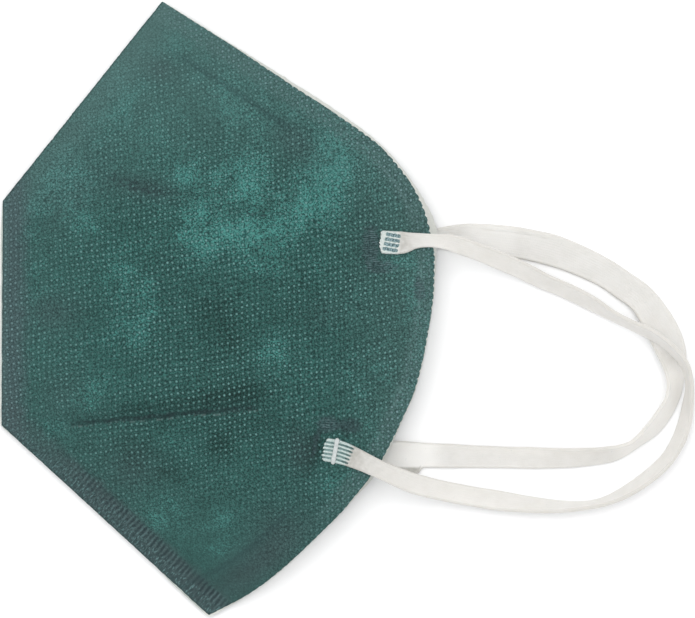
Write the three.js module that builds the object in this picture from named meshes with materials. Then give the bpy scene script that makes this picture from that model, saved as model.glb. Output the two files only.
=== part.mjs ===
/**
 * A flat-fold disposable respirator with two ear loops, folded and lying on its side.
 *
 * Millimetres. X runs from the front edge towards the ears, Y from the chin to the nose, and Z up
 * from the surface that the respirator lies on. The near half is on top, and the far half lies
 * under it. Each half is a cover of dark cloth with a pale lining, and both halves are welded
 * together along the nose, front and chin edges. The face edge is open.
 */
import * as THREE from 'three';

// Cloth
const CLOTH = 1.1; // thickness of a cover or a lining
const GAP = 0.3; // clearance between pieces that touch
const WELD_BAND = 4; // width of the welded band, where the covers lie flat on each other
const LINING_INSET = 12; // the linings stop this far inside the welded edges
const FAR_OVERHANG = 0.5; // how far the far half stands out along the welded edges

// Heights
const PUFF = 8.8; // how far the near half stands off the far half in the middle
const PUFF_REACH = 16; // distance from the welded band over which it rises
const SEAM_LIFT = 0.9; // the welded edges stand this far off the surface
const SEAM_LIFT_REACH = [6, 20]; // the lift is whole up to the first distance, and ends at the second
const STRAP_LIFT = 1.45; // the far half stands this far off the surface over its own ear loop
const STRAP_LIFT_REACH = [6, 30];

// Ear loops
const STRAP_THICK = 1.1;
const STRAP_CHAMFER = 0.3; // corners of the strap's section
const STRAP_STEPS = 78;
const SECTION_CORNERS = 8;

// Outline: the welded edges run through these corners, from the nose tip to the chin tip.
const WELDED_CORNERS = [
  { at: 'nose tip', x: -14.5, y: 78.3 },
  { at: 'front edge, top', x: -55.1, y: 27.4 },
  { at: 'front edge, foot', x: -55.4, y: -29.7 },
  { at: 'chin tip', x: -2.6, y: -78.1 },
].map(({ x, y }) => new THREE.Vector2(x, y));

// The face edge from the nose tip to the chin tip. The reveal is how far the far half shows past it.
const FACE_EDGE = [
  { x: -14.5, y: 78.3, reveal: 0.2 },
  { x: 12.7, y: 61.5, reveal: 0.6 },
  { x: 33.3, y: 47.6, reveal: 0.8 },
  { x: 45.8, y: 36.1, reveal: 1.1 },
  { x: 52.3, y: 25.2, reveal: 1.9 },
  { x: 55.0, y: 13.0, reveal: 0.7 },
  { x: 54.2, y: -1.0, reveal: 0.1 },
  { x: 50.0, y: -20.5, reveal: 0.1 },
  { x: 39.2, y: -42.9, reveal: 0.1 },
  { x: 31.3, y: -51.7, reveal: 0.1 },
  { x: 20.6, y: -62.8, reveal: 0.1 },
  { x: 6.7, y: -73.5, reveal: 0.3 },
  { x: -2.6, y: -78.1, reveal: 0.5 },
];
const FACE_CURVE = new THREE.SplineCurve(FACE_EDGE.map(({ x, y }) => new THREE.Vector2(x, y)));

// Rows of the cloth grid run from the welded edges (seam: 0 to 3, a whole number at each corner)
// to the face edge (face: share of its length), with this many rows since the line above.
const ROW_BREAKS = [
  { seam: 0.0, face: 0.0, rows: 0 },
  { seam: 0.7, face: 0.42, rows: 7 },
  { seam: 0.8, face: 0.455, rows: 2 },
  { seam: 0.9, face: 0.48, rows: 2 },
  { seam: 1.0, face: 0.5, rows: 1 },
  { seam: 1.88, face: 0.61, rows: 8 },
  { seam: 2.0, face: 0.63, rows: 2 },
  { seam: 2.12, face: 0.66, rows: 2 },
  { seam: 3.0, face: 1.0, rows: 8 },
];
const COLUMNS = 14;
const COLUMN_CROWDING = 1.25; // over 1 crowds the columns towards the welded edges

// Folds pressed into the near half, each a shallow groove between two points.
const CREASES = [
  { from: [-27.0, 33.0], to: [15.0, 23.5], depth: 0.8, spread: 3 },
  { from: [-38.5, -29.5], to: [10.0, -25.2], depth: 0.8, spread: 3 },
];

// Where the far ear loop lies under the far half.
const HIDDEN_STRAPS = [
  { from: [40.0, 17.0], to: [60.0, 17.9] },
  { from: [26.0, -35.8], to: [48.0, -37.3] },
];

// Each ear loop's centreline from its upper weld to its lower one. The lift is the height of the
// strap's lowest edge, the lean is in degrees with the outer edge up, and the width is the strap's.
const NEAR_LOOP = [
  { x: 40.9, y: 16.9, lift: 11.6, lean: 0, width: 5.9 },
  { x: 46.3, y: 16.7, lift: 11.6, lean: 0, width: 5.7 },
  { x: 50.2, y: 17.2, lift: 11.7, lean: 10, width: 4.0 },
  { x: 54.3, y: 17.2, lift: 11.6, lean: 20, width: 3.6 },
  { x: 59.1, y: 16.6, lift: 10.2, lean: 25, width: 4.6 },
  { x: 65.2, y: 14.6, lift: 7.2, lean: 30, width: 4.8 },
  { x: 71.6, y: 12.1, lift: 4.4, lean: 32, width: 5.2 },
  { x: 77.1, y: 9.75, lift: 2.2, lean: 36, width: 5.3 },
  { x: 82.75, y: 6.95, lift: 0.9, lean: 45, width: 5.3 },
  { x: 88.75, y: 4.4, lift: 0.4, lean: 49, width: 5.5 },
  { x: 94.8, y: 1.35, lift: 0.5, lean: 57, width: 6.0 },
  { x: 99.6, y: -1.5, lift: 1.2, lean: 70, width: 6.0 },
  { x: 104.5, y: -4.0, lift: 2.4, lean: 72, width: 6.0 },
  { x: 109.0, y: -6.1, lift: 3.7, lean: 69, width: 6.0 },
  { x: 112.4, y: -8.1, lift: 4.2, lean: 74, width: 6.0 },
  { x: 115.6, y: -10.9, lift: 4.0, lean: 75, width: 6.0 },
  { x: 118.2, y: -14.0, lift: 3.3, lean: 77, width: 6.0 },
  { x: 119.4, y: -17.3, lift: 2.3, lean: 79, width: 6.0 },
  { x: 119.7, y: -20.4, lift: 1.3, lean: 79, width: 6.0 },
  { x: 119.4, y: -24.2, lift: 0.4, lean: 72, width: 6.0 },
  { x: 118.6, y: -29.0, lift: 0.05, lean: 64, width: 6.0 },
  { x: 116.9, y: -33.8, lift: 0.05, lean: 62, width: 6.0 },
  { x: 113.9, y: -38.6, lift: 0.05, lean: 62, width: 6.0 },
  { x: 109.5, y: -42.7, lift: 0.05, lean: 63, width: 6.0 },
  { x: 104.1, y: -46.4, lift: 0.05, lean: 67, width: 6.0 },
  { x: 98.8, y: -48.9, lift: 0.05, lean: 75, width: 6.0 },
  { x: 93.4, y: -50.1, lift: 0.05, lean: 77, width: 6.0 },
  { x: 86.8, y: -50.4, lift: 0.05, lean: 66, width: 6.0 },
  { x: 79.0, y: -49.9, lift: 0.05, lean: 50, width: 5.9 },
  { x: 69.5, y: -48.7, lift: 0.6, lean: 28, width: 5.6 },
  { x: 59.5, y: -46.9, lift: 3.2, lean: 14, width: 5.3 },
  { x: 51.2, y: -44.9, lift: 6.9, lean: 8, width: 5.2 },
  { x: 46.0, y: -43.0, lift: 9.6, lean: 4, width: 5.1 },
  { x: 40.8, y: -40.7, lift: 11.6, lean: 0, width: 4.6 },
  { x: 34.9, y: -38.0, lift: 11.4, lean: 0, width: 5.2 },
  { x: 30.6, y: -36.4, lift: 11.3, lean: 0, width: 5.9 },
  { x: 26.5, y: -35.65, lift: 11.2, lean: 0, width: 5.9 },
];
const FAR_LOOP = [
  { x: 41.2, y: 17.0, lift: 0.05, lean: 0, width: 5.7 },
  { x: 46.8, y: 17.1, lift: 0.05, lean: 0, width: 5.7 },
  { x: 54.0, y: 17.95, lift: 0.05, lean: 0, width: 4.9 },
  { x: 61.5, y: 18.0, lift: 0.05, lean: 0, width: 7.1 },
  { x: 68.5, y: 17.6, lift: 0.05, lean: 0, width: 7.9 },
  { x: 75.1, y: 16.9, lift: 0.05, lean: 0, width: 8.1 },
  { x: 79.8, y: 16.1, lift: 0.05, lean: 0, width: 8.0 },
  { x: 85.5, y: 14.7, lift: 0.05, lean: 0, width: 8.0 },
  { x: 91.4, y: 12.45, lift: 0.05, lean: 0, width: 7.7 },
  { x: 98.0, y: 9.27, lift: 0.05, lean: 0, width: 7.3 },
  { x: 103.0, y: 5.95, lift: 0.05, lean: -2, width: 7.15 },
  { x: 107.75, y: 2.4, lift: 0.05, lean: -6, width: 7.5 },
  { x: 111.7, y: -3.2, lift: 0.05, lean: -12, width: 8.2 },
  { x: 113.9, y: -7.5, lift: 0.05, lean: -14, width: 8.5 },
  { x: 115.4, y: -11.6, lift: 0.05, lean: -24, width: 8.1 },
  { x: 116.1, y: -15.4, lift: 0.05, lean: -38, width: 7.2 },
  { x: 116.2, y: -18.4, lift: 0.05, lean: -52, width: 7.0 },
  { x: 115.9, y: -20.9, lift: 0.05, lean: -58, width: 7.0 },
  { x: 115.1, y: -23.6, lift: 0.05, lean: -61, width: 7.0 },
  { x: 113.0, y: -27.2, lift: 0.05, lean: -58, width: 7.0 },
  { x: 110.2, y: -30.7, lift: 0.05, lean: -60, width: 7.0 },
  { x: 105.9, y: -34.4, lift: 0.05, lean: -72, width: 6.8 },
  { x: 102.6, y: -36.2, lift: 0.05, lean: -64, width: 6.6 },
  { x: 99.6, y: -37.1, lift: 0.05, lean: -54, width: 6.3 },
  { x: 94.8, y: -37.7, lift: 0.05, lean: -46, width: 6.1 },
  { x: 86.8, y: -38.1, lift: 0.05, lean: -33, width: 6.0 },
  { x: 72.0, y: -37.9, lift: 0.05, lean: -16, width: 5.8 },
  { x: 56.2, y: -37.5, lift: 0.05, lean: -4, width: 6.2 },
  { x: 46.8, y: -37.2, lift: 0.05, lean: 0, width: 6.8 },
  { x: 42.0, y: -36.9, lift: 0.05, lean: 0, width: 6.5 },
  { x: 36.0, y: -36.3, lift: 0.05, lean: 0, width: 5.8 },
  { x: 26.2, y: -35.8, lift: 0.05, lean: 0, width: 5.8 },
];

const COVER_CLOTH = new THREE.MeshStandardMaterial({ color: 0x32625c, roughness: 0.9, metalness: 0 });
const LINING_CLOTH = new THREE.MeshStandardMaterial({ color: 0xe6e6df, roughness: 0.95, metalness: 0 });
const ELASTIC = new THREE.MeshStandardMaterial({ color: 0xe8e7e2, roughness: 0.85, metalness: 0 });

/** 1 up to the first distance of the reach, 0 from the second on, and smooth between. */
function fadeOut(distance, [near, far]) {
  return 1 - THREE.MathUtils.smoothstep(distance, near, far);
}

/** The inward normal of the welded edge that starts at this corner. */
function weldedNormal(edge) {
  const along = WELDED_CORNERS[edge + 1].clone().sub(WELDED_CORNERS[edge]).normalize();
  return new THREE.Vector2(-along.y, along.x);
}

const WELDED_NORMALS = [0, 1, 2].map(weldedNormal);

/** How far a point is inside the nearest welded edge. */
function weldedDistance(x, y) {
  const point = new THREE.Vector2(x, y);
  return Math.min(
    ...WELDED_NORMALS.map((normal, edge) => point.clone().sub(WELDED_CORNERS[edge]).dot(normal)),
  );
}

/** How far a point is from the stretch between two points. */
function stretchDistance(x, y, { from, to }) {
  const start = new THREE.Vector2(...from);
  const along = new THREE.Vector2(...to).sub(start);
  const point = new THREE.Vector2(x, y).sub(start);
  const share = THREE.MathUtils.clamp(point.dot(along) / along.lengthSq(), 0, 1);
  return point.distanceTo(along.multiplyScalar(share));
}

function creaseDepth(x, y) {
  return CREASES.reduce((sum, crease) => {
    const away = stretchDistance(x, y, crease) / crease.spread;
    return sum + crease.depth * Math.exp(-away * away);
  }, 0);
}

/** The underside of the far cover, which lies on the surface away from the edges and the straps. */
function farUnderside(x, y) {
  const overStraps = Math.min(...HIDDEN_STRAPS.map((strap) => stretchDistance(x, y, strap)));
  return Math.max(
    SEAM_LIFT * fadeOut(weldedDistance(x, y), SEAM_LIFT_REACH),
    STRAP_LIFT * fadeOut(overStraps, STRAP_LIFT_REACH),
  );
}

/** The top of the near cover, which lies on the far one in the welded band and puffs up inside it. */
function nearTop(x, y) {
  const inside = weldedDistance(x, y);
  const puff = PUFF * (1 - Math.exp(-Math.max(0, inside - WELD_BAND) / PUFF_REACH));
  const lift = SEAM_LIFT * fadeOut(inside, SEAM_LIFT_REACH);
  return 2 * CLOTH + GAP + lift + puff - creaseDepth(x, y);
}

/** Where two lines meet, each given by a point on it and its unit normal. */
function meet(a, b) {
  const scale = a.normal.x * b.normal.y - a.normal.y * b.normal.x;
  const alongA = a.normal.dot(a.point);
  const alongB = b.normal.dot(b.point);
  return new THREE.Vector2(
    (alongA * b.normal.y - alongB * a.normal.y) / scale,
    (alongB * a.normal.x - alongA * b.normal.x) / scale,
  );
}

/** A point of the face edge, moved outwards by a share of the reveal there. */
function facePoint(share, revealShare) {
  const tangent = FACE_CURVE.getTangentAt(share);
  const outward = new THREE.Vector2(-tangent.y, tangent.x);
  const place = FACE_CURVE.getUtoTmapping(share) * (FACE_EDGE.length - 1);
  const row = Math.min(Math.floor(place), FACE_EDGE.length - 2);
  const { lerp } = THREE.MathUtils;
  const reveal = lerp(FACE_EDGE[row].reveal, FACE_EDGE[row + 1].reveal, place - row);
  const point = FACE_CURVE.getPointAt(share).addScaledVector(outward, reveal * revealShare);
  return { point, normal: outward };
}

/** The corners of a half whose welded edges are moved inwards, and the part of the face edge it has. */
function halfOutline(inset, revealShare) {
  const edges = WELDED_NORMALS.map((normal, edge) => ({
    point: WELDED_CORNERS[edge].clone().addScaledVector(normal, inset),
    normal,
  }));
  const corners = [
    meet(edges[0], facePoint(0, revealShare)),
    meet(edges[0], edges[1]),
    meet(edges[1], edges[2]),
    meet(edges[2], facePoint(1, revealShare)),
  ];
  const length = FACE_CURVE.getLength();
  const cutOff = (tip) => (inset > 0 ? corners[tip].distanceTo(WELDED_CORNERS[tip]) / length : 0);
  return { corners, faceStart: cutOff(0), faceEnd: 1 - cutOff(3) };
}

/** Rows of points across a half, the first and last of them single points at its tips. */
function halfGrid(inset, revealShare) {
  const { corners, faceStart, faceEnd } = halfOutline(inset, revealShare);
  const { lerp } = THREE.MathUtils;
  const rows = [[corners[0]]];
  for (let k = 1; k < ROW_BREAKS.length; k += 1) {
    const last = ROW_BREAKS[k - 1];
    const next = ROW_BREAKS[k];
    for (let step = 1; step <= next.rows; step += 1) {
      const seam = lerp(last.seam, next.seam, step / next.rows);
      const face = lerp(last.face, next.face, step / next.rows);
      if (seam === WELDED_NORMALS.length) continue; // the chin tip is a single point
      const edge = Math.floor(seam);
      const left = corners[edge].clone().lerp(corners[edge + 1], seam - edge);
      const right = facePoint(lerp(faceStart, faceEnd, face), revealShare).point;
      const row = [];
      for (let i = 0; i <= COLUMNS; i += 1) {
        row.push(left.clone().lerp(right, (i / COLUMNS) ** COLUMN_CROWDING));
      }
      rows.push(row);
    }
  }
  rows.push([corners[3]]);
  return rows;
}

/** A closed solid from its vertices and from triangles, of which those with no area are left out. */
function solid(vertices, triangles) {
  const geometry = new THREE.BufferGeometry();
  const whole = triangles.filter(([a, b, c]) => a !== b && b !== c && c !== a);
  geometry.setAttribute('position', new THREE.Float32BufferAttribute(vertices.flat(), 3));
  geometry.setIndex(whole.flat());
  geometry.computeVertexNormals();
  return geometry;
}

/** A cloth wall over a grid of rows, with its underside at a height given for each point. */
function clothWall(rows, undersideAt) {
  const vertices = [];
  const ids = rows.map((row) => row.map(({ x, y }) => {
    const z = undersideAt(x, y);
    vertices.push([x, y, z], [x, y, z + CLOTH]);
    return vertices.length - 2;
  }));
  const id = (j, i) => ids[j][Math.min(i, ids[j].length - 1)];
  const triangles = [];
  const quad = (a, b, c, d) => triangles.push([a, b, c], [a, c, d]);
  for (let j = 0; j + 1 < rows.length; j += 1) {
    for (let i = 0; i < COLUMNS; i += 1) {
      const [a, b, c, d] = [id(j, i), id(j + 1, i), id(j + 1, i + 1), id(j, i + 1)];
      quad(a + 1, b + 1, c + 1, d + 1);
      quad(d, c, b, a);
    }
    const [a, b] = [id(j, 0), id(j + 1, 0)];
    const [c, d] = [id(j + 1, COLUMNS), id(j, COLUMNS)];
    quad(a, b, b + 1, a + 1);
    quad(c, d, d + 1, c + 1);
  }
  return solid(vertices, triangles);
}

/** The corners of a strap's section, across it and through it, anticlockwise. */
function strapSection(width) {
  const across = width / 2;
  const through = STRAP_THICK / 2;
  const cut = STRAP_CHAMFER;
  return [
    [across, through - cut], [across - cut, through], [cut - across, through], [-across, through - cut],
    [-across, cut - through], [cut - across, -through], [across - cut, -through], [across, cut - through],
  ];
}

/** A flat strap along its rows, leaning and changing its width between them. */
function earLoop(rows) {
  const places = rows.map(({ x, y, lift, lean, width }) => {
    const angle = THREE.MathUtils.degToRad(Math.abs(lean));
    const rise = (width / 2) * Math.sin(angle) + (STRAP_THICK / 2) * Math.cos(angle);
    return new THREE.Vector3(x, y, lift + rise);
  });
  const curve = new THREE.CatmullRomCurve3(places, false, 'catmullrom', 0.5);
  const up = new THREE.Vector3(0, 0, 1);
  const vertices = [];
  const triangles = [];
  for (let step = 0; step <= STRAP_STEPS; step += 1) {
    const share = curve.getUtoTmapping(step / STRAP_STEPS);
    const place = share * (rows.length - 1);
    const row = Math.min(Math.floor(place), rows.length - 2);
    const { lerp, degToRad } = THREE.MathUtils;
    const lean = degToRad(lerp(rows[row].lean, rows[row + 1].lean, place - row));
    const width = lerp(rows[row].width, rows[row + 1].width, place - row);
    const centre = curve.getPoint(share);
    const outward = up.clone().cross(curve.getTangent(share)).normalize();
    const across = outward.clone().multiplyScalar(Math.cos(lean)).addScaledVector(up, Math.sin(lean));
    const through = up.clone().multiplyScalar(Math.cos(lean)).addScaledVector(outward, -Math.sin(lean));
    const section = strapSection(width);
    for (const [a, b] of section) {
      vertices.push(centre.clone().addScaledVector(across, a).addScaledVector(through, b).toArray());
    }
    for (let k = 0; step > 0 && k < SECTION_CORNERS; k += 1) {
      const a = (step - 1) * SECTION_CORNERS + k;
      const b = (step - 1) * SECTION_CORNERS + ((k + 1) % SECTION_CORNERS);
      triangles.push([a, b, b + SECTION_CORNERS], [a, b + SECTION_CORNERS, a + SECTION_CORNERS]);
    }
  }
  const last = vertices.length - SECTION_CORNERS;
  for (let k = 1; k + 1 < SECTION_CORNERS; k += 1) {
    triangles.push([0, k + 1, k], [last, last + k, last + k + 1]);
  }
  return solid(vertices, triangles);
}

const respirator = new THREE.Group();

function addPiece(name, geometry, material) {
  const mesh = new THREE.Mesh(geometry, material);
  mesh.name = name;
  respirator.add(mesh);
}

const nearCoverGrid = halfGrid(0, 0);
const farCoverGrid = halfGrid(-FAR_OVERHANG, 1);
const nearLiningGrid = halfGrid(LINING_INSET, 0);
const farLiningGrid = halfGrid(LINING_INSET, 1);

addPiece('cover_near', clothWall(nearCoverGrid, (x, y) => nearTop(x, y) - CLOTH), COVER_CLOTH);
addPiece('cover_far', clothWall(farCoverGrid, farUnderside), COVER_CLOTH.clone());
addPiece(
  'lining_near',
  clothWall(nearLiningGrid, (x, y) => nearTop(x, y) - 2 * CLOTH - GAP),
  LINING_CLOTH,
);
addPiece(
  'lining_far',
  clothWall(farLiningGrid, (x, y) => farUnderside(x, y) + CLOTH + GAP),
  LINING_CLOTH.clone(),
);
addPiece('ear_loop_near', earLoop(NEAR_LOOP), ELASTIC);
addPiece('ear_loop_far', earLoop(FAR_LOOP), ELASTIC.clone());

export default respirator;
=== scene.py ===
"""The looks of a flat-fold respirator that lies folded on its side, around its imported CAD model.

Lengths are millimetres until a mesh is made, except where a name ends in _M.
"""
import math
from types import SimpleNamespace

import bpy
import numpy as np
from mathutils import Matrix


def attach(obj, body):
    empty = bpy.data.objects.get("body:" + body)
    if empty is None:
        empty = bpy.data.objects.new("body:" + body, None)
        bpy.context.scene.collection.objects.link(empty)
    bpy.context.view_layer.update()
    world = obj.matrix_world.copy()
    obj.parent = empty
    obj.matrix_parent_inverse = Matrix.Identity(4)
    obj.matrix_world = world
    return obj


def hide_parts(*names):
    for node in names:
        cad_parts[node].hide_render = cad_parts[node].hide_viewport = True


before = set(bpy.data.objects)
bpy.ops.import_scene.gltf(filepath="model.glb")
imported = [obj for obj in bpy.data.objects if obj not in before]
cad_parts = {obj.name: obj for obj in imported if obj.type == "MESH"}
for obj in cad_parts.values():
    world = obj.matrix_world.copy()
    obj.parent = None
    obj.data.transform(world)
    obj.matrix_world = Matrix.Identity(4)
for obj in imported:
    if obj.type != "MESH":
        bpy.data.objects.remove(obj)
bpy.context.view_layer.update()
MM = 0.001
RANDOM = np.random.default_rng(7)

# ---------------------------------------------------------------- shape, as in the CAD source

WELD_BAND = 4.0  # width of the welded edges
PUFF = 8.8  # how far the near half bulges up, and how gradually
PUFF_REACH = 16.0
SEAM_LIFT = 0.9  # how far the welded edges stand off the table, and over what distance that fades
SEAM_LIFT_REACH = (6, 20)
STRAP_LIFT = 1.2  # the same where the far half lies on its strap
STRAP_LIFT_REACH = (6, 30)
CAD_TOP = 2.5  # top of the near cover over the far cover's underside, where nothing puffs it up

# Corners of the welded edges: nose tip, front top, front foot, chin tip.
CORNERS = np.array([(-14.5, 78.3), (-55.1, 27.4), (-55.4, -29.7), (-2.6, -78.1)])

# Face edge: x, y, and how far the far half shows past it.
FACE_EDGE = np.array([
    (-14.5, 78.3, 0.05), (4, 66.4, 0.4), (19, 56.4, 0.95), (29, 49.9, 1), (38.8, 43, 0.75),
    (43.2, 38.9, 0.65), (47, 34.3, 0.7), (50.2, 29.3, 0.9), (52.6, 23.8, 1.5), (54, 18, 2),
    (54.55, 14.9, 0.75), (54.8, 12.1, 0.5), (54.15, 0.2, 0.25), (50.75, -17.45, 0.3), (46.4, -28.5, 0.35),
    (40.95, -39.25, 0.65), (38.07, -43.22, 0.9), (34.63, -47.52, 0.4), (29.75, -53.1, 0.25),
    (16.8, -65.5, 0.3), (7.3, -72.75, 0.2), (-2.6, -78.1, 0.5),
])

# Rows across a half run from the welded edges (0 to 3, whole at each corner) to a share of the
# face edge, with this many of them since the entry before.
ROW_BREAKS = np.array([
    (0.0015, 0.001, 0), (0.7, 0.42, 250), (0.8, 0.455, 22), (0.9, 0.48, 16), (1.0, 0.5, 13),
    (1.88, 0.61, 76), (2.0, 0.63, 14), (2.12, 0.66, 20), (2.9985, 0.999, 226),
])

# How far the far half stands out past the near one along the welded edges.
OVERHANG = np.array([
    (0, 0.05), (0.97, 0.05), (1.12, 0.5), (1.97, 0.5), (2.06, 0.12), (2.74, 0.12), (2.84, 0.5), (3, 0.5),
])

# Ear loops: x, y, height of the lowest edge, lean in degrees with the outer edge up, and width.
NEAR_LOOP = np.array([
    (40.9, 16.9, 11.6, 0, 5.9), (46.3, 16.7, 11.6, 0, 5.7), (50.2, 17.2, 11.7, 10, 4.0),
    (54.3, 17.2, 11.6, 20, 3.6), (59.1, 16.6, 10.2, 25, 4.6), (65.2, 14.6, 7.2, 30, 4.8),
    (71.6, 12.1, 4.4, 32, 5.2), (77.1, 9.75, 2.2, 36, 5.3), (82.75, 6.95, 0.9, 45, 5.3),
    (88.75, 4.4, 0.4, 49, 5.5), (94.8, 1.35, 0.5, 57, 6.0), (99.6, -1.5, 1.2, 70, 6.0),
    (104.5, -4.0, 2.4, 72, 6.0), (109.0, -6.1, 3.7, 69, 6.0), (112.4, -8.1, 4.2, 74, 6.0),
    (115.6, -10.9, 4.0, 75, 6.0), (118.2, -14.0, 3.3, 77, 6.0), (119.4, -17.3, 2.3, 79, 6.0),
    (119.7, -20.4, 1.3, 79, 6.0), (119.4, -24.2, 0.4, 72, 6.0), (118.6, -29.0, 0.05, 64, 6.0),
    (116.9, -33.8, 0.05, 62, 6.0), (113.9, -38.6, 0.05, 62, 6.0), (109.5, -42.7, 0.05, 63, 6.0),
    (104.1, -46.4, 0.05, 67, 6.0), (98.8, -48.9, 0.05, 75, 6.0), (93.4, -50.1, 0.05, 77, 6.0),
    (86.8, -50.4, 0.05, 66, 6.0), (79.0, -49.9, 0.05, 50, 5.9), (69.5, -48.7, 0.6, 28, 5.6),
    (59.5, -46.9, 3.2, 14, 5.3), (51.2, -44.9, 6.9, 8, 5.2), (46.0, -43.0, 9.6, 4, 5.1),
    (40.8, -40.7, 11.6, 0, 4.6), (34.9, -38.0, 11.4, 0, 5.2), (30.6, -36.4, 11.3, 0, 5.9),
    (26.5, -35.65, 11.2, 0, 5.9),
])
FAR_LOOP = np.array([
    (41.2, 17.0, 0.05, 0, 5.7), (46.8, 17.1, 0.05, 0, 5.7), (54.0, 17.95, 0.05, 0, 4.9),
    (61.5, 18.0, 0.05, 0, 7.1), (68.5, 17.6, 0.05, 0, 7.9), (75.1, 16.9, 0.05, 0, 8.1),
    (79.8, 16.1, 0.05, 0, 8.0), (85.5, 14.7, 0.05, 0, 8.0), (91.4, 12.45, 0.05, 0, 7.7),
    (98.0, 9.27, 0.05, 0, 7.3), (103.0, 5.95, 0.05, -2, 7.15), (107.75, 2.4, 0.05, -6, 7.5),
    (111.7, -3.2, 0.05, -12, 8.2), (113.9, -7.5, 0.05, -14, 8.5), (115.4, -11.6, 0.05, -24, 8.1),
    (116.1, -15.4, 0.05, -38, 7.2), (116.2, -18.4, 0.05, -52, 7.0), (115.9, -20.9, 0.05, -58, 7.0),
    (115.1, -23.6, 0.05, -61, 7.0), (113.0, -27.2, 0.05, -58, 7.0), (110.2, -30.7, 0.05, -60, 7.0),
    (105.9, -34.4, 0.05, -72, 6.8), (102.6, -36.2, 0.05, -64, 6.6), (99.6, -37.1, 0.05, -54, 6.3),
    (94.8, -37.7, 0.05, -46, 6.1), (86.8, -38.1, 0.05, -33, 6.0), (72.0, -37.9, 0.05, -16, 5.8),
    (56.2, -37.5, 0.05, -4, 6.2), (46.8, -37.2, 0.05, 0, 6.8), (42.0, -36.9, 0.05, 0, 6.5),
    (36.0, -36.3, 0.05, 0, 5.8), (26.2, -35.8, 0.05, 0, 5.8),
])

# Where the far strap lies under the far half.
HIDDEN_STRAPS = np.array([[(40.0, 17.0), (60.0, 17.9)], [(26.0, -35.8), (48.0, -37.3)]])

# ---------------------------------------------------------------- camera

VIEW_CENTRE = (32.7, -0.1)
VIEW_WIDTH = 176.9  # what the picture's width takes in, at the cloth
CLOTH_HEIGHT = 4
CAMERA_HEIGHT_M = 1.5
SENSOR = 36

camera_data = bpy.data.cameras.new("camera")
camera_data.sensor_width = SENSOR
camera_data.lens = SENSOR * (CAMERA_HEIGHT_M / MM - CLOTH_HEIGHT) / VIEW_WIDTH
camera = bpy.data.objects.new("camera", camera_data)
camera.location = (VIEW_CENTRE[0] * MM, VIEW_CENTRE[1] * MM, CAMERA_HEIGHT_M)
bpy.context.scene.collection.objects.link(camera)
bpy.context.scene.camera = camera


# ---------------------------------------------------------------- curves and heights

def smoothstep(value, low, high):
    share = np.clip((value - low) / (high - low), 0, 1)
    return share * share * (3 - 2 * share)


def fade_out(distance, reach):
    """1 up to the first distance of the reach, 0 from the second on, and smooth between."""
    return 1 - smoothstep(distance, *reach)


def band(value, start, risen, falling, end):
    """0 up to the start, 1 from risen to falling, and 0 again from the end on."""
    return smoothstep(value, start, risen) * (1 - smoothstep(value, falling, end))


def bell(distance, width, power=2):
    """1 at no distance, and falling off smoothly within about this width."""
    return np.exp(-((distance / width) ** power))


def catmull(rows, steps):
    """A smooth curve through rows of numbers, with this many points to a row."""
    padded = np.vstack([2 * rows[0] - rows[1], rows, 2 * rows[-1] - rows[-2]])
    share = np.linspace(0, 1, steps, endpoint=False)[:, None]
    found = []
    for a, b, c, d in zip(padded, padded[1:], padded[2:], padded[3:]):
        found.append(0.5 * (2 * b + (c - a) * share + (2 * a - 5 * b + 4 * c - d) * share**2
                            + (3 * b - a - 3 * c + d) * share**3))
    return np.vstack([*found, rows[-1:]])


def lengths(points):
    """The length along a line of points up to each of them."""
    return np.concatenate([[0], np.cumsum(np.linalg.norm(np.diff(points, axis=0), axis=1))])


def along_curve(points, at, where):
    """Each column of a curve's points, at these lengths along it."""
    return np.stack([np.interp(where, at, column) for column in points.T], axis=-1)


FACE_CURVE = catmull(FACE_EDGE, 40)
FACE_AT = lengths(FACE_CURVE[:, :2])
FACE_LENGTH = FACE_AT[-1]
EDGE_STEPS = np.diff(CORNERS, axis=0)
EDGE_ALONG = EDGE_STEPS / np.linalg.norm(EDGE_STEPS, axis=1)[:, None]
EDGE_INWARD = np.stack([-EDGE_ALONG[:, 1], EDGE_ALONG[:, 0]], axis=1)


def edge_distances(x, y):
    """How far inside each welded edge a point is."""
    points = np.stack([x, y], axis=-1)
    return np.stack([(points - corner) @ inward for corner, inward in zip(CORNERS, EDGE_INWARD)])


def welded_distance(x, y):
    return edge_distances(x, y).min(axis=0)


def soft_welded_distance(x, y, softness=4.0):
    """The distance from the welded edges, rounded where two of them are equally near."""
    return -softness * np.log(np.exp(-edge_distances(x, y) / softness).sum(axis=0))


def line_distance(x, y, line, signed=False):
    """How far a point is from a line of points; signed is above 0 on the line's left."""
    points = np.stack([x, y], axis=-1)
    best = np.full(np.shape(x), np.inf)
    side = np.ones(np.shape(x))
    for start, end in zip(np.asarray(line)[:-1], np.asarray(line)[1:]):
        step = end - start
        share = np.clip(((points - start) @ step) / (step @ step), 0, 1)
        away = points - (start + share[..., None] * step)
        distance = np.linalg.norm(away, axis=-1)
        nearer = distance < best
        best = np.where(nearer, distance, best)
        cross = step[0] * (points[..., 1] - start[1]) - step[1] * (points[..., 0] - start[0])
        side = np.where(nearer, np.sign(cross), side)
    return best * side if signed else best


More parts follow.
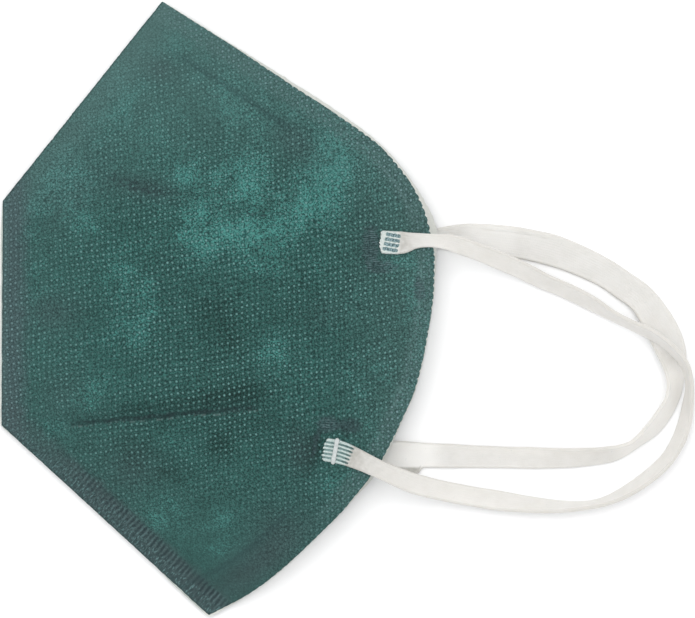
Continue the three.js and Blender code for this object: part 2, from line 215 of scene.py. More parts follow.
# Folds pressed into the near half: the line, how deep, and how wide on its upper and lower side.
CREASES = [
    {"line": [(-27.2, 33.2), (-20.6, 30.9), (-14.3, 29.6), (-1.8, 27.4), (8.9, 23.8), (15.3, 23.0)],
     "depth": 0.55, "upper": 1.6, "lower": 1.0},
    {"line": [(-38.7, -29.4), (-27.2, -28.4), (-12.5, -27.1), (-4.6, -26.3), (10.2, -25.1)],
     "depth": 0.75, "upper": 2.2, "lower": 0.9},
    {"line": [(-16.3, 61.0), (-10.0, 55.6), (-3.6, 50.0)], "depth": 0.25, "upper": 1.5, "lower": 1.5},
]

# Long soft swells of the cloth: direction in degrees, wavelength, phase, height.
SWELLS = [
    (12, 41.0, 0.7, 0.16), (74, 33.0, 2.1, 0.14), (131, 24.0, 4.0, 0.10), (38, 17.0, 1.2, 0.06),
    (158, 13.0, 5.1, 0.05), (97, 9.5, 3.3, 0.03),
]


def crease_depth(x, y):
    depth = np.zeros(np.shape(x))
    for crease in CREASES:
        away = line_distance(x, y, crease["line"], signed=True)
        wide = np.where(away > 0, crease["upper"], crease["lower"])
        depth += crease["depth"] * bell(np.abs(away), wide, 1.3)
    return depth


def swell(x, y):
    height = np.zeros(np.shape(x))
    for degrees, wavelength, phase, size in SWELLS:
        turn = math.radians(degrees)
        run = x * math.cos(turn) + y * math.sin(turn)
        height += size * np.sin(2 * math.pi * run / wavelength + phase)
    return height


def far_underside(x, y):
    over_straps = np.min([line_distance(x, y, strap) for strap in HIDDEN_STRAPS], axis=0)
    return np.maximum(SEAM_LIFT * fade_out(welded_distance(x, y), SEAM_LIFT_REACH),
                      STRAP_LIFT * fade_out(over_straps, STRAP_LIFT_REACH))


# Where the straps are welded on the near half: the middle of each weld, and how far it dents.
NEAR_WELDS = [(43.7, 16.8), (30.0, -36.5)]
WELD_DENT = 0.35
DENT_WIDTH = 5.5

BAND_STACK = 1.75  # from the far cover's underside to the near cover's top, in the welded band
STACK_REACH = (WELD_BAND, 22)  # over which it grows to the CAD's height
FREE_REACH = (WELD_BAND, 14)  # over which the cloth becomes free to swell and fold
PUFF_START = WELD_BAND + 0.8
PUFF_SOFTNESS = 1.1
PRESSED_RIM = 0.25  # how far the near half is pressed down along the face edge
RIM_BAND = (3.0, 7.0)

# The nose strip inside lifts the cloth a little, in a band beside the face edge.
NOSE_RIDGE = 0.3
RIDGE_FROM_RIM = (4.4, 5.8, 8.2, 9.8)
RIDGE_X = (-14, -8, 16, 22)


def near_top(x, y, rim):
    """The near cover's top: flat in the welded band, then puffed up, with its folds and dents."""
    inside = soft_welded_distance(x, y)
    rise = PUFF_SOFTNESS * np.logaddexp(0, (inside - PUFF_START) / PUFF_SOFTNESS)
    puff = PUFF * (1 - np.exp(-rise / PUFF_REACH))
    lift = SEAM_LIFT * fade_out(welded_distance(x, y), SEAM_LIFT_REACH)
    stack = CAD_TOP - (CAD_TOP - BAND_STACK) * fade_out(inside, STACK_REACH)
    free = 1 - fade_out(inside, FREE_REACH)
    dents = sum(WELD_DENT * bell(np.hypot(x - cx, y - cy), DENT_WIDTH) for cx, cy in NEAR_WELDS)
    ridge = NOSE_RIDGE * band(rim, *RIDGE_FROM_RIM) * band(x, *RIDGE_X)
    pressed = PRESSED_RIM * fade_out(rim, RIM_BAND)
    return lift + stack + puff + (swell(x, y) - crease_depth(x, y)) * free - dents + ridge - pressed


# ---------------------------------------------------------------- the cloth halves

def row_places():
    """Each row's place along the welded edges, and its share of the face edge."""
    seam, face = [ROW_BREAKS[0, 0]], [ROW_BREAKS[0, 1]]
    for last, new in zip(ROW_BREAKS, ROW_BREAKS[1:]):
        steps = np.arange(1, int(new[2]) + 1) / new[2]
        seam.extend(last[0] + (new[0] - last[0]) * steps)
        face.extend(last[1] + (new[1] - last[1]) * steps)
    return np.array(seam), np.array(face)


def column_places(edge_columns, middle_columns, rim_columns):
    """Shares of a row's length, closer together in the welded band and along the face edge."""
    edge = np.linspace(0, EDGE_SHARE, edge_columns, endpoint=False)
    middle = np.linspace(EDGE_SHARE, RIM_SHARE, middle_columns, endpoint=False)
    return np.concatenate([edge, middle, np.linspace(RIM_SHARE, 1, rim_columns)])


EDGE_SHARE, RIM_SHARE = 0.075, 0.935
FINE_COLUMNS = column_places(13, 78, 14)
PLAIN_COLUMNS = column_places(9, 42, 9)
SEAM_ROWS, FACE_ROWS = row_places()
FACE_ROW_AT = FACE_ROWS * FACE_LENGTH


def seam_points(outwards):
    """Each row's point on the welded edges, moved outwards."""
    edge = np.minimum(SEAM_ROWS.astype(int), 2)
    points = CORNERS[edge] + (SEAM_ROWS - edge)[:, None] * (CORNERS[edge + 1] - CORNERS[edge])
    place = SEAM_ROWS - 0.5
    low = np.clip(np.floor(place).astype(int), 0, 2)
    high = np.clip(low + 1, 0, 2)
    turn = np.where(low == high, 0.0, smoothstep(place - low, 0.45, 0.55))
    inward = EDGE_INWARD[low] * (1 - turn)[:, None] + EDGE_INWARD[high] * turn[:, None]
    inward /= np.linalg.norm(inward, axis=1)[:, None]
    return points - inward * outwards[:, None]


def face_points(outwards):
    """Each row's point on the face edge, moved outwards."""
    def on_edge(where):
        return along_curve(FACE_CURVE, FACE_AT, np.clip(where, 0, FACE_LENGTH))[:, :2]

    tangent = on_edge(FACE_ROW_AT + 0.5) - on_edge(FACE_ROW_AT - 0.5)
    tangent /= np.linalg.norm(tangent, axis=1)[:, None]
    return on_edge(FACE_ROW_AT) + np.stack([-tangent[:, 1], tangent[:, 0]], axis=1) * outwards[:, None]


def rim_distance(x, y):
    """How far each point is from the face edge, by every twelfth point of its curve."""
    return line_distance(x, y, FACE_CURVE[::12, :2])


def half_grid(columns, seam_out, face_out):
    """x and y of a half's grid, and each point's distance from the face edge."""
    left, right = seam_points(seam_out), face_points(face_out)
    grid = left[:, None] + (right - left)[:, None] * columns[None, :, None]
    x, y = grid[..., 0], grid[..., 1]
    return x, y, rim_distance(x, y)


def roughen(size, smooth):
    """Small irregularities of a cut edge, one for each row, alike over about this many rows."""
    kernel = np.hanning(smooth + 2)
    noise = RANDOM.normal(size=len(SEAM_ROWS) + smooth + 1)
    return size * np.convolve(noise, kernel / np.linalg.norm(kernel), "valid")[:len(SEAM_ROWS)]


def quads(a, b, c, d):
    """Faces through the same places of four arrays of vertex numbers."""
    return np.stack([a, b, c, d], axis=-1).reshape(-1, 4).tolist()


def add_mesh(name, vertices, faces, attributes=None, uv=None, sharp=40):
    """A mesh object from vertices in millimetres, faces, and numbers for each vertex."""
    mesh = bpy.data.meshes.new(name)
    mesh.from_pydata((np.asarray(vertices) * MM).tolist(), [], faces)
    mesh.update()
    for key, values in (attributes or {}).items():
        attribute = mesh.attributes.new(key, "FLOAT", "POINT")
        attribute.data.foreach_set("value", np.asarray(values, np.float32).ravel())
    if uv is not None:
        layer = mesh.uv_layers.new(name="UVMap")
        corners = np.empty(len(mesh.loops), np.int32)
        mesh.loops.foreach_get("vertex_index", corners)
        layer.data.foreach_set("uv", np.asarray(uv, np.float32)[corners].ravel())
    mesh.shade_smooth()
    mesh.set_sharp_from_angle(angle=math.radians(sharp))
    piece = bpy.data.objects.new(name, mesh)
    bpy.context.scene.collection.objects.link(piece)
    return piece


COARSER = 3  # the grid's rows and columns to one of a cloth's hidden side


def cloth_shell(name, x, y, fine, coarse, attributes):
    """A closed sheet between two heights over a grid, with fewer rows and columns on its second side."""
    rows, columns = x.shape
    row_ids, column_ids = (np.unique(np.append(np.arange(0, n, COARSER), n - 1)) for n in (rows, columns))
    pick = np.ix_(row_ids, column_ids)
    upper = np.stack([x, y, fine], axis=-1).reshape(-1, 3)
    lower = np.stack([x[pick], y[pick], coarse[pick]], axis=-1).reshape(-1, 3)
    up = np.arange(rows * columns).reshape(rows, columns)
    down = len(upper) + np.arange(len(lower)).reshape(len(row_ids), len(column_ids))
    faces = quads(up[:-1, :-1], up[1:, :-1], up[1:, 1:], up[:-1, 1:])
    faces += quads(down[:-1, :-1], down[:-1, 1:], down[1:, 1:], down[1:, :-1])

    walls = ((up[:, 0], down[:, 0], row_ids, True), (up[:, -1], down[:, -1], row_ids, False),
             (up[0], down[0], column_ids, False), (up[-1], down[-1], column_ids, True))
    for upper_line, lower_line, ids, flip in walls:
        for low, next_low, first, last in zip(lower_line, lower_line[1:], ids, ids[1:]):
            run = [*upper_line[first:last + 1], next_low]
            wall = [[int(low), int(a), int(b)] for a, b in zip(run, run[1:])]
            faces += [face[::-1] for face in wall] if flip else wall
    if fine.mean() < coarse.mean():
        faces = [face[::-1] for face in faces]
    values = {key: np.concatenate([each.ravel(), each[pick].ravel()]) for key, each in attributes.items()}
    return add_mesh(name, np.vstack([upper, lower]), faces, values)


# Light and dark clouds in the near half's cloth, and one of painted shade beside the lower weld's end:
# x, y, half length, half width, turn, strength.
CLOUDS = [
    (-8.1, 34, 3.8, 3.2, 0, 0.6), (5.9, 34, 6.6, 5, 0, 0.58), (7.9, 29.4, 4, 3, 0, 0.3),
    (28, 34, 9, 5.5, 53, 0.75), (19.5, 22.5, 7, 4.5, 50, 0.3), (-3.8, 17.9, 7.5, 5.5, 0, 0.48),
    (-5.5, 24.5, 4, 5, 0, 0.28), (9.2, 19, 8, 5, 10, 0.5), (46, 22, 7, 3, -62, 0.1),
    (10.6, 10.6, 4.5, 3.5, 0, 0.33), (-18.8, 0.3, 4, 8, -8, 0.5), (-24.7, 8, 4.5, 5.5, 0, 0.33),
    (-25, -6.5, 5.5, 4.5, 10, 0.33), (13, -9.8, 5, 4.4, 0, 0.36), (-39, 34, 12, 6, 50, 0.27),
    (-34, 22.5, 6, 5, 0, 0.28), (-25, 53, 8, 5, 50, 0.24), (3, 52.5, 10, 3, -38, 0.3),
    (4, 59.5, 17, 3, -33, 0.1), (50.5, -4, 4.5, 17, 0, 0.34), (26.5, 25.5, 5, 4, 0, 0.28),
    (30, -46, 6, 4, 40, 0.26), (2, -62, 5, 3.5, 0, 0.16), (-20, -59, 4, 2.5, -43, 0.3),
    (38, 34, 5, 3, -50, 0.12), (2, 48, 4, 3, -35, 0.3), (-34, 24, 4, 3, 0, 0.2), (-34, -24, 5, 4, 0, 0.24),
    (-47, 8, 4, 14, 0, 0.14), (-46, -14, 4, 8, 0, 0.12), (-13.9, -52.5, 5.2, 4.8, 0, 0.56),
    (1.8, -52.6, 3.8, 3.6, 0, 0.34), (-1, -59, 5.5, 4, 0, 0.22), (-9.5, -34.3, 5.5, 4, 0, 0.4),
    (-31, -20.6, 6, 3.2, 35, 0.36), (-42.5, -30.5, 4.5, 3.5, 0, 0.32), (38.4, -17.5, 5.5, 5.5, 0, 0.3),
    (-13.7, 70.5, 6, 6, 0, 0.12), (43.5, 11.6, 2.6, 1.8, 20, 0.6), (48.4, 12, 2.2, 2.4, 0, 0.14),
    (26, 40.5, 4.2, 3.2, -38, 0.5), (-15, 60.7, 3.5, 3, 0, -0.35), (-18.8, 31, 7.5, 3, -12, -0.45),
    (-43, -0.9, 6, 5, 0, -0.2), (-1, -0.5, 8.5, 6, 5, -0.5), (0.5, -34.5, 4.5, 4, 0, -0.52),
    (-12.5, -41.6, 4.5, 3.5, 0, -0.3), (2, -9, 6.5, 5, 0, -0.38), (-14, -29, 17, 8, 4, -0.22),
    (5.3, -9, 3, 4, 0, -0.12), (-1, -9, 2.2, 2.2, 0, 0.22), (8.5, 27, 3, 2.2, 0, 0.22),
    (32, 7.3, 6, 3, 30, -0.2), (38, 15.6, 5, 6, 0, -0.2), (6, -21, 7.5, 3.6, 0, -0.62),
    (20, 0, 9, 5.5, 0, -0.3), (-22, -36, 4.5, 3.5, 0, -0.26), (-34, 0, 5, 5, 0, -0.18),
    (-22, 23, 5, 4, 0, -0.24), (-20, -1, 4, 5, 0, -0.2), (-5, -22.8, 12, 2.3, 5, -0.35),
    (-21.4, -26, 8, 1.8, 5, -0.3), (11, -29, 8, 4.5, 0, -0.35), (20.6, -36, 4, 6, 0, -0.35),
    (14.2, -53.8, 6, 6, 0, -0.2), (9.5, -65, 15, 5, 38, -0.3), (-22.6, -41, 6, 5, 0, -0.2),
    (-33, 18, 8, 6, 0, -0.12), (-13.7, 13, 4.5, 6, 0, -0.2), (20.6, 42.6, 6, 3.6, -38, -0.35),
    # (24.3, -35.6) is painted shade beside the lower weld's end.
    (16.5, 38.5, 3, 5, 0, -0.25), (4, -48, 28, 8, 0, -0.06), (24.3, -35.6, 2, 4.6, -12, -0.85),
    (32.5, -30, 4.6, 2.2, -10, -0.45), (38.5, -32, 3.6, 4, 0, 0.36), (30, -43.5, 6, 2.6, 35, 0.22),
    (-2, 46, 4, 4, 0, -0.2),
]

# Where the cloth is greyer, in the same terms.
GREYS = [
    (-43, -0.9, 7, 5, 0, 0.55), (-38, 30, 12, 7, 50, 0.35), (10, -64.5, 16, 5.5, 38, 0.8),
    (20.6, -36, 3.6, 6, 0, 0.5), (14, -54, 6, 6, 0, 0.25), (-15, 60.7, 3.5, 3, 0, 0.5),
    (-22, -41, 7, 6, 0, 0.4), (20, 42, 7, 4, -38, 0.4), (-18.8, 30.6, 8, 3, -12, 0.5),
    (27, -0.8, 6, 4, 10, 0.25), (-40, -22, 5, 6, 0, 0.3),
]

# Patches pressed flat by the tool that welds the straps, and a strip of painted shade beside the lower weld's
# end:
# x, y, half length, half width, turn, strength, and how far the tool's lines show.
PRESSED_AND_SHADE = [
    (38.6, 15.6, 2.4, 6.2, 0, 0.95, 1), (41.2, 10.6, 4.6, 1.9, 0, 0.9, 1), (50.9, 5, 1.6, 3.6, 5, 0.8, 0.8),
    (27.8, -29.2, 3.2, 2.4, -8, 0.9, 0.7), (33, -29.7, 3.6, 2.1, 0, 0.85, 0.15),
    # The strip at (24.7, -33.6) is painted shade beside the lower weld's end.
    (24.7, -33.6, 0.9, 4.6, -12, 0.9, 0.3),
]


def turned_ellipse(x, y, cx, cy, long, wide, turn):
    """The square of how far each point is from an ellipse's middle, 1 on its edge."""
    c, s = math.cos(math.radians(turn)), math.sin(math.radians(turn))
    u = ((x - cx) * c + (y - cy) * s) / long
    v = ((y - cy) * c - (x - cx) * s) / wide
    return u * u + v * v


def clouds(x, y, patches):
    return sum(strength * np.exp(-turned_ellipse(x, y, *ellipse)) for *ellipse, strength in patches)


def pressed_and_shade_share(x, y):
    share, lines = np.zeros(np.shape(x)), np.zeros(np.shape(x))
    for *ellipse, strength, lined in PRESSED_AND_SHADE:
        here = strength * np.exp(-(turned_ellipse(x, y, *ellipse) ** 2))
        share, lines = np.maximum(share, here), np.maximum(lines, here * lined)
    return share, lines


CHIN_DASH = 1.3  # pitch of the dashes along the chin seam
DASH_ROWS = [(0.9, 2.4, 0.55), (2.7, 6.0, 1.0)]  # from and to, inside the edge, and strength
DASH_DEPTH = 0.06


def dash_relief(x, y):
    """The chin seam's short dashes, pressed into the cloth across the seam."""
    points = np.stack([x, y], axis=-1) - CORNERS[2]
    inside = points @ EDGE_INWARD[2]
    along = points @ EDGE_ALONG[2]
    rows = sum(share * band(inside, low - 0.3, low + 0.2, high - 0.4, high + 0.4)
               for low, high, share in DASH_ROWS)
    rows = rows * smoothstep(along, 10, 24)
    return -DASH_DEPTH * rows * (0.5 - 0.5 * np.cos(2 * math.pi * along / CHIN_DASH))


TOOTH = 2.0  # pitch of the small teeth along the near face edge
TOOTH_DEPTHS = np.array([  # share of the face edge, and depth
    (0, 0.06), (0.1, 0.15), (0.25, 0.28), (0.36, 0.36), (0.5, 0.28), (0.62, 0.22), (0.75, 0.12), (1, 0.06),
])
COVER_THICK = 0.5
COVER_THICK_PRESSED = 0.4
LINING_THICK = 1.7
LINING_THICK_PRESSED = 0.35
LINING_THICK_RIM = 0.6
LAYER_GAP = 0.03
LINING_PEEK = 0.55  # how far the near lining rises to the teeth, as a share of their depth

# How much of the near half's folds shows along x, as painted shade: the middle and width of the upper one's
# dark part, then where its thin end and the lower one come and go.
UPPER_DARK = (-20.0, 8.5)
UPPER_THIN = (4, 9, 13.5, 16)
LOWER_DARK = (-41, -34, 7, 11.5)


def thicknesses(x, y, rim):
    """The cover's and the lining's thickness, less where they are welded."""
    pressed = fade_out(soft_welded_distance(x, y), (WELD_BAND, 12))
    cover = COVER_THICK + (COVER_THICK_PRESSED - COVER_THICK) * pressed
    lining = LINING_THICK + (LINING_THICK_RIM - LINING_THICK) * fade_out(rim, (3.6, 7.5))
    return cover, lining + (LINING_THICK_PRESSED - lining) * pressed


def cover_attributes(x, y, rim, tone):
    upper, lower = (line_distance(x, y, crease["line"], signed=True) for crease in CREASES[:2])
    press_and_shade, lined = pressed_and_shade_share(x, y)
    return {
        "tone": tone, "grey": clouds(x, y, GREYS), "inside": welded_distance(x, y), "rim": rim,
        "press_and_shade": press_and_shade, "lined": lined,
        "upper_fold": np.clip(upper, -20, 20), "upper_dark": 0.9 * bell(x - UPPER_DARK[0], UPPER_DARK[1]),
        "upper_thin": 0.6 * band(x, *UPPER_THIN),
        "lower_fold": np.clip(lower, -20, 20), "lower_dark": band(x, *LOWER_DARK),
    }


def make_near_half():
    tooth_depth = np.interp(FACE_ROWS, *TOOTH_DEPTHS.T)
    wave = np.cos(2 * math.pi * FACE_ROW_AT / TOOTH + 0.6 * np.sin(FACE_ROW_AT / 5.7))
    teeth = smoothstep(wave, 0.15, 0.8) * tooth_depth

    x, y, rim = half_grid(FINE_COLUMNS, 0.04 + roughen(0.03, 5), roughen(0.02, 2) - teeth)
    top = near_top(x, y, rim) + dash_relief(x, y)
    cover_thick, _ = thicknesses(x, y, rim)
    cover = cloth_shell("cover_near_cloth", x, y, top, top - cover_thick,
                        cover_attributes(x, y, rim, clouds(x, y, CLOUDS)))

    x, y, rim = half_grid(PLAIN_COLUMNS, np.full(len(SEAM_ROWS), -0.1), 0.03 + roughen(0.02, 3))
    cover_thick, lining_thick = thicknesses(x, y, rim)
    top = near_top(x, y, rim) - cover_thick - LAYER_GAP
    top[:, -1] += LINING_PEEK * tooth_depth
    lining = cloth_shell("lining_near_cloth", x, y, top - lining_thick, top,
                         {"inside": welded_distance(x, y), "rim": rim})
    return cover, lining


def make_far_half():
    reveal = along_curve(FACE_CURVE, FACE_AT, FACE_ROW_AT)[:, 2]
    overhang = np.interp(SEAM_ROWS, *OVERHANG.T)

    x, y, rim = half_grid(FINE_COLUMNS, overhang - 0.1, reveal - 0.25)
    low = far_underside(x, y)
    cover_thick, _ = thicknesses(x, y, rim)
    cover = cloth_shell("cover_far_cloth", x, y, low, low + cover_thick,
                        cover_attributes(x, y, rim, 0.6 * clouds(-x, y - 8, CLOUDS)))

    x, y, rim = half_grid(PLAIN_COLUMNS, overhang + roughen(0.03, 5), reveal + roughen(0.05, 3))
    cover_thick, lining_thick = thicknesses(x, y, rim)
    low = far_underside(x, y) + cover_thick + LAYER_GAP
    lining = cloth_shell("lining_far_cloth", x, y, low + lining_thick, low,
                         {"inside": welded_distance(x, y), "rim": rim})
    return cover, lining


cover_near, lining_near = make_near_half()
cover_far, lining_far = make_far_half()


# ---------------------------------------------------------------- ear loops

STRAP_THICK = 1.05
EDGE_ROUND = 0.42
END_CORNER = 0.55  # radius of the rounded corners of a strap's end
SELVEDGE = 1.05  # distance of the groove beside each edge
CUP = 0.16  # how far a strap's middle sags below its edges
ACROSS = np.linspace(-1, 1, 49)
END_RUN = 9  # length of the finer part at each end
TAB_FILM = 0.2  # what is left of the strap between a weld's ribs
RIB_HEIGHT = 0.62
UP = np.array([0.0, 0.0, 1.0])

# Each strap end's weld: its length, where its grooves begin and end, how many, their pitch and width.
UPPER_TAB = {"length": 5.2, "grooves": (1.1, 5.0), "count": 4, "pitch": 1.25, "width": 0.95, "slant": 0.13,
             "skew": 0.2, "rounded": 0.1}
LOWER_TAB = {"length": 7.5, "grooves": (-1.0, 7.35), "count": 5, "pitch": 0.98, "width": 0.6, "slant": 0.0,
             "skew": 0.0, "rounded": 0.35}

# Along the far strap: a crease, a bulge of its outer edge, and where painted light makes it paler against its
# shade.
FAR_FOLDS = [(24, 44, 2.35, 0.25)]  # start, end, place across the strap, depth
FAR_BULGES = [(168.2, 182, 1.5)]  # start, end, size
FAR_PAINTED_LIGHT = [(22, 34, 0.4), (90, 118, 0.7), (164, 180, 0.9)]  # start, end, strength


def tab_profile(tab, run, across):
    """How far each point is in the weld, in the middle of a groove, and in the pale ribs, from 0 to 1."""
    in_tab = fade_out(run, (tab["length"] - 0.4, tab["length"] + 0.9))[:, None] * np.ones_like(across)
    start, end = tab["grooves"]
    along = band(run[:, None] - tab["skew"] * across, start - 0.2, start + 0.25, end - 0.3, end + 0.2)
    bent = across + tab["slant"] * (run[:, None] - 3)
    bent = bent + 0.35 * tab["skew"] * np.sin(5.5 * run[:, None] + 2.5 * np.floor(bent / tab["pitch"]))
    place = bent / tab["pitch"] + tab["count"] / 2
    away = np.abs(place - np.floor(place) - 0.5) * tab["pitch"]
    groove = fade_out(away, (tab["width"] / 2 - 0.22, tab["width"] / 2 + 0.1))
    groove = groove * (np.abs(bent) < tab["count"] * tab["pitch"] / 2)
    pale = in_tab * fade_out(run, (end - 1.2, end - 0.1))[:, None]
    return in_tab, groove * along * in_tab, pale


def ragged_end(tab, run, across, width):
    """How far the weld's end is drawn in: rounded, and uneven from one rib to the next."""
    share = np.clip(1 - run / 1.2, 0, 1)[:, None]
    place = across / tab["pitch"] + (tab["count"] + 1) / 2
    rib = np.floor(place)
    tip = tab["rounded"] * (np.abs(place - rib - 0.5) * 2) ** 2
    uneven = 0.16 * np.sin(rib * 2.3 + 1.0) + 0.1 * np.sin(across * 7.1) + 0.1 * np.sin(across * 15.3 + 0.7)
    corner = 0.35 * np.abs(2 * across / width[:, None]) ** 4
    return share * (tip + uneven * 0.8 + corner)


def strap_line(rows, side, surface):
    """A strap's middle line: its run from each end, points, width, directions and hold on the cloth."""
    curve = catmull(np.array(rows, float), 24)
    lean_size = np.abs(np.radians(curve[:, 3]))
    rise = curve[:, 4] / 2 * np.sin(lean_size) + STRAP_THICK / 2 * np.cos(lean_size)
    centre = np.stack([curve[:, 0], curve[:, 1], curve[:, 2] + rise], axis=1)
    at = lengths(centre)
    total = at[-1]
    run = np.concatenate([np.arange(0, END_RUN, 0.22), np.arange(END_RUN, total - END_RUN, 0.6),
                          np.arange(total - END_RUN, total, 0.22), [total]])
    back = total - run
    lean = np.interp(run, at, np.radians(curve[:, 3]))[:, None]
    width = np.interp(run, at, curve[:, 4])
    centre = along_curve(centre, at, run)
    settled = fade_out(np.minimum(run, back), (8, 16))
    seat = surface(centre[:, 0], centre[:, 1]) + side * STRAP_THICK / 2
    centre[:, 2] += (seat - centre[:, 2]) * settled

    for from_end in (run, back):
        cut = np.clip(1 - from_end / END_CORNER, 0, 1)
        width = width - 1.6 * END_CORNER * (1 - np.sqrt(1 - cut**2))
    width = width + (0.06 * np.sin(run / 3.1) + 0.05 * np.sin(run / 1.7 + 1.3)) * (1 - settled)

    tangent = np.gradient(centre, run, axis=0)
    tangent /= np.linalg.norm(tangent, axis=1)[:, None]
    outward = np.cross(UP, tangent)
    outward /= np.linalg.norm(outward, axis=1)[:, None]
    return SimpleNamespace(
        run=run, back=back, centre=centre, width=width, settled=settled, tangent=tangent,
        across_way=np.cos(lean) * outward + np.sin(lean) * UP,
        through_way=np.cos(lean) * UP - np.sin(lean) * outward)


def strap_shade(line, across, bulge):
    """Where the strap is in shade: beside each weld, and on the bulge of its outer edge."""
    run, back = line.run, line.back
    upper = 0.8 * np.where(run < 5.8, smoothstep(run, 4.2, 5.6), bell(run - 5.8, 3.0))
    lower = np.where(back < 7.8, smoothstep(back, 3.5, 6.8), np.exp(-(back - 7.8) / 7.0))
    folded = np.clip(bulge, 0, 1)[:, None] * smoothstep(across - line.width[:, None] / 2, -0.5, 0.3)
    return np.maximum(upper, lower)[:, None], folded


def ring_faces(ids, top_count):
    """Faces round a strap's rings of vertices, and over both its ends."""
    turned = np.roll(ids, -1, axis=1)
    faces = quads(ids[:-1], turned[:-1], turned[1:], ids[1:])
    for row, flip in ((ids[0], False), (ids[-1], True)):
        top_row = row[:top_count]
        low_row = np.concatenate([row[:1], row[top_count:][::-1], top_row[-1:]])
        for k in range(top_count - 1):
            face = [int(v) for v in dict.fromkeys((top_row[k], top_row[k + 1], low_row[k + 1], low_row[k]))]
            if len(face) > 2:
                faces.append(face[::-1] if flip else face)
    return faces


def strap(name, rows, underneath, surface, folds=(), bulges=(), painted_lights=()):
    """A flat elastic strap along its rows, welded on or under a surface at both its ends."""
    line = strap_line(rows, -1 if underneath else 1, surface)
    run, steps = line.run, len(line.run)
    bulge = sum((size * band(run, begin - 0.6, begin + 0.6, end - 6, end) for begin, end, size in bulges),
                np.zeros(steps))
    reach = line.width[:, None] / 2 + bulge[:, None] * (ACROSS > 0)
    across = ACROSS * reach

    # Its section: rounded edges, a groove beside each, and a slight sag between them
    edge = reach - np.abs(across)
    round_off = np.sqrt(np.clip(1 - np.clip(1 - edge / EDGE_ROUND, 0, 1) ** 2, 0, 1))
    body = 0.92 + 0.08 * fade_out(edge, (0.5, 1.6)) - 0.05 * bell(edge - SELVEDGE, 0.25)
    for begin, end, offset, depth in folds:
        body = body - depth * band(run, begin, begin + 4, end - 4, end)[:, None] * bell(across - offset, 0.3)
    half = STRAP_THICK / 2 * body * round_off
    cup = CUP * (1 - ACROSS**2) * (1 - line.settled)[:, None]

    # Its welded ends: ribs away from the cloth, and flat on it
    tab_a, groove_a, pale_a = tab_profile(UPPER_TAB, run, across)
    tab_b, groove_b, pale_b = tab_profile(LOWER_TAB, line.back, across)
    tab = np.maximum(tab_a, tab_b)
    ribbed = (TAB_FILM + (RIB_HEIGHT - TAB_FILM) * (1 - np.maximum(groove_a, groove_b))) * round_off
    outer = half + (ribbed - STRAP_THICK / 2 - half) * tab
    inner = half + (STRAP_THICK / 2 * round_off - half) * tab
    high, deep = (inner, outer) if underneath else (outer, inner)
    inset = (ragged_end(UPPER_TAB, run, across, line.width)
             - ragged_end(LOWER_TAB, line.back, across, line.width))

    by_weld, folded = strap_shade(line, across, bulge)
    shade = np.maximum(by_weld * (0.2 if underneath else 1), folded)
    # Painted light: the strap paler in stretches against its shade, less so where shade is painted.
    pale = sum((size * band(run, begin - 3, begin + 3, end - 3, end + 3) for begin, end, size in painted_lights),
               np.zeros(steps))
    pale = pale[:, None] * (1 - shade)

    def place(sideways, through, along):
        return (line.centre[:, None] + line.across_way[:, None] * sideways[..., None]
                + line.through_way[:, None] * through[..., None] + line.tangent[:, None] * along[..., None])

    def both_sides(values):
        return np.concatenate([values, values[:, ::-1][:, 1:-1]], axis=1)

    lower = place(across, -deep - cup, inset)[:, ::-1]
    ring = np.concatenate([place(across, high - cup, inset), lower[:, 1:-1]], axis=1)
    ring[..., 2] = np.maximum(ring[..., 2], 0.02)
    ids = np.arange(ring.shape[0] * ring.shape[1]).reshape(ring.shape[:2])
    uv = np.stack([both_sides(run[:, None] * np.ones_like(across)), both_sides(across)], axis=-1)
    # side: painted shade along each edge of the strap.
    marks = {"groove": np.maximum(groove_a, 0.7 * groove_b), "tab": np.maximum(0.6 * pale_a, pale_b),
             "side": fade_out(edge, (0.15, 0.75)), "shade": shade, "pale": pale}
    piece = add_mesh(name, ring.reshape(-1, 3), ring_faces(ids, len(ACROSS)),
                     {key: both_sides(values) for key, values in marks.items()}, uv.reshape(-1, 2) * MM, 50)
    return piece, line


def on_near_cover(x, y):
    return near_top(x, y, rim_distance(x, y)) + LAYER_GAP


def under_far_cover(x, y):
    return far_underside(x, y) - LAYER_GAP


BAR_FROM_END = 3.1
BAR_HALF_LONG, BAR_HALF_WIDE, BAR_HEIGHT = 3.4, 0.55, 0.5
BAR_STEPS, BAR_AROUND = 29, 12


def crossbar(name, line, side):
    """A short pressed bar over a weld's ribs, across the strap; side is 1 on top of it, -1 underneath."""
    where = line.run[-1] - BAR_FROM_END + np.array([0, 0.5])
    centre, ahead = along_curve(line.centre, line.run, where)
    ahead = (ahead - centre) / np.linalg.norm(ahead - centre)
    across_way = np.cross(UP, ahead)
    vertices = []
    for run in np.linspace(-1, 1, BAR_STEPS):
        rounding = math.sqrt(max(0.0, 1 - max(0.0, (abs(run) - 0.86) / 0.14) ** 2))
        size = (0.25 + 0.75 * rounding) * (1 + 0.09 * math.cos(run * 10 + 1))
        lift = side * (0.17 - 0.28 * abs(run) ** 6) + 0.07 * math.cos(run * 18) * size
        for k in range(BAR_AROUND):
            turn = 2 * math.pi * k / BAR_AROUND
            wide, high = (size * math.copysign(abs(part) ** 0.7, part)
                          for part in (math.cos(turn), math.sin(turn)))
            vertices.append(centre + across_way * run * BAR_HALF_LONG + ahead * BAR_HALF_WIDE * wide
                            + UP * (BAR_HEIGHT / 2 * high + lift))
    ids = np.arange(len(vertices)).reshape(BAR_STEPS, BAR_AROUND)
    turned = np.roll(ids, -1, axis=1)
    faces = quads(ids[:-1], ids[1:], turned[1:], turned[:-1])
    faces += [ids[0].tolist(), ids[-1][::-1].tolist()]
    return add_mesh(name, vertices, faces, sharp=60)


